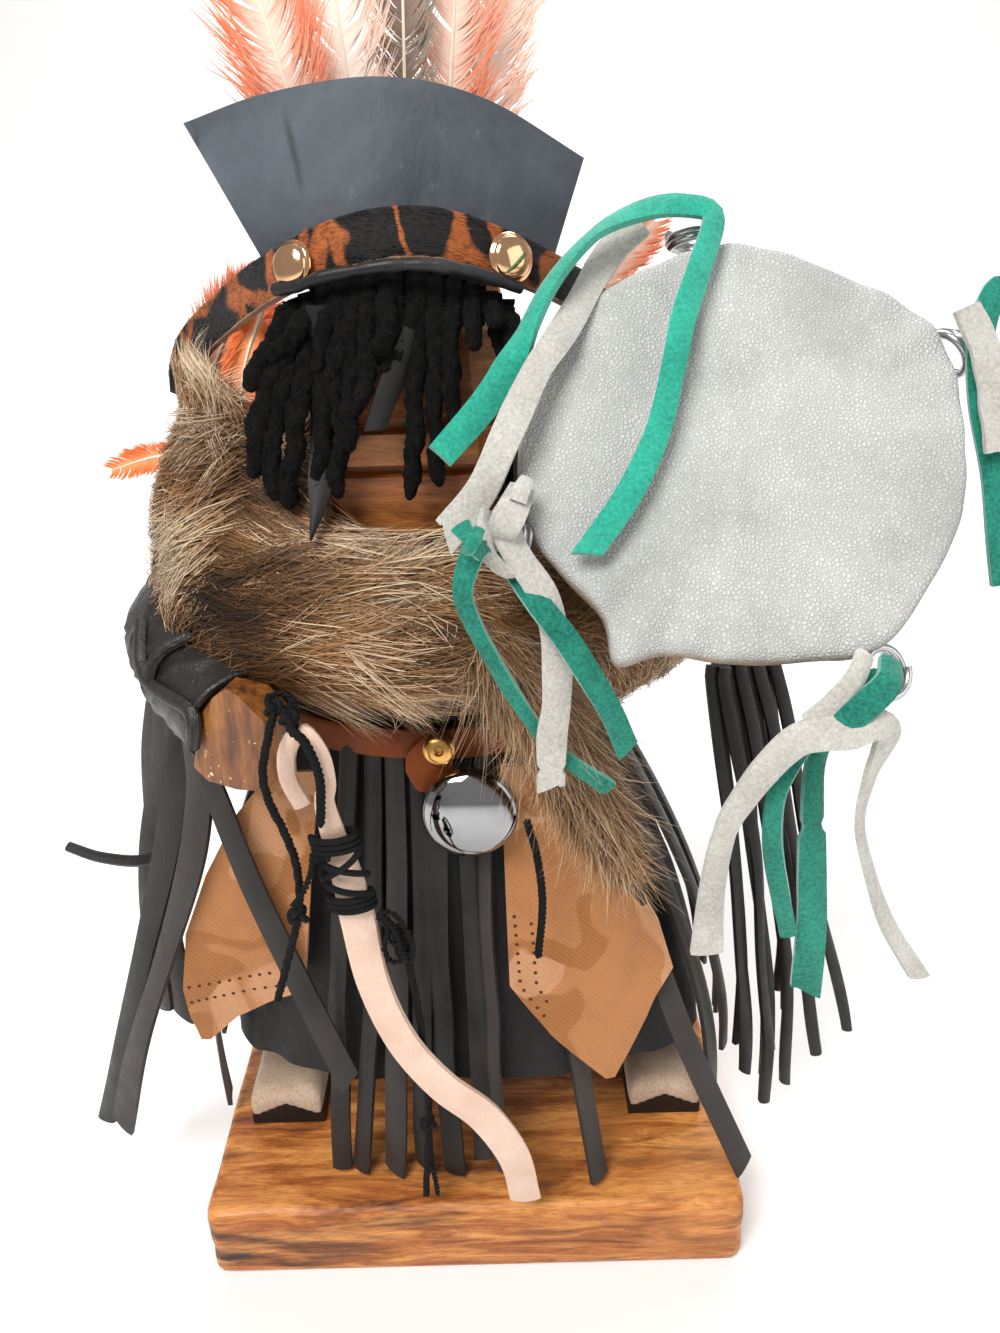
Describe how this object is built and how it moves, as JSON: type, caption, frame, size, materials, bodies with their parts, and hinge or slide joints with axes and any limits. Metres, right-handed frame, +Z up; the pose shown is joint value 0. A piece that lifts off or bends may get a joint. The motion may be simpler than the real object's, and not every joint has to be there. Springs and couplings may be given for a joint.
{
  "type": "shaman doll",
  "caption": "Dressed carved wooden figure in fur and fringed leather, holding a skin drum and a whip, on a stained board.",
  "frame": {"origin": "middle of the board's underside", "axes": "+Z up, the doll faces -Y, +X is the viewer's right"},
  "size_m": [0.1866, 0.1202, 0.2923],
  "materials": {
    "stained_board": "orange-brown stain with dark streaks, satin",
    "black_sole": "worn black",
    "cream_suede": "napped",
    "dark_leather": "soft, dull sheen",
    "print_cloth": "blotched print, matt",
    "black_leather": "satin",
    "tan_leather": "polished",
    "brass": "polished",
    "polished_steel": "mirror",
    "black_cord": "waxed, twisted",
    "stained_wood": "hand carved, satin",
    "black_wool": "felted",
    "spotted_hide": "short hair",
    "blue_leather": "matt",
    "feather": "fluffy",
    "white_leather": "fine grain",
    "steel_wire": "bright",
    "fur": "long hair",
    "cream_leather": "smooth",
    "teal_suede": "napped",
    "white_suede": "napped"
  },
  "bodies": {
    "root": {"plinth": "stained_board", "sole_left": "black_sole", "sole_right": "black_sole", "boot_left": "cream_suede", "boot_right": "cream_suede", "tunic": "dark_leather", "skirt": "dark_leather", "skirt_fringe": "dark_leather", "panel_left": "print_cloth", "panel_right": "print_cloth", "cross_strap": "black_leather", "belt": "tan_leather", "belt_tab": "tan_leather", "belt_bead": "brass", "concho": "polished_steel", "concho_cord": "black_cord", "head": "stained_wood", "face_locs": "black_wool", "face_tab": "black_leather", "headband": "spotted_hide", "headband_piping": "dark_leather", "stud_left": "brass", "stud_right": "brass", "crest": "blue_leather", "feather_1": "feather", "feather_2": "feather", "feather_3": "feather", "feather_4": "feather", "feather_5": "feather", "feather_left": "feather", "feather_right": "feather", "drum": "white_leather", "ring_top": "steel_wire", "ring_left": "steel_wire", "ring_bottom": "steel_wire", "ring_right": "steel_wire", "sleeve_left": "dark_leather", "sleeve_right": "dark_leather", "hand_left": "stained_wood", "hand_right": "stained_wood", "sleeve_fringe_left": "dark_leather", "sleeve_fringe_right": "black_leather", "curled_strip": "black_leather", "fur_stole": "fur", "fur_tail": "fur", "whip": "cream_leather", "whip_lashing": "black_cord", "whip_cord_left": "black_cord", "whip_cord_right": "black_cord", "whip_cord_tail": "black_cord", "lace_top_teal": "teal_suede", "lace_left_teal": "teal_suede", "lace_bottom_teal": "teal_suede", "lace_right_teal": "teal_suede", "lace_top_white": "white_suede", "lace_left_white": "white_suede", "lace_bottom_white": "white_suede", "lace_right_white": "white_suede"}
  },
  "joints": []
}
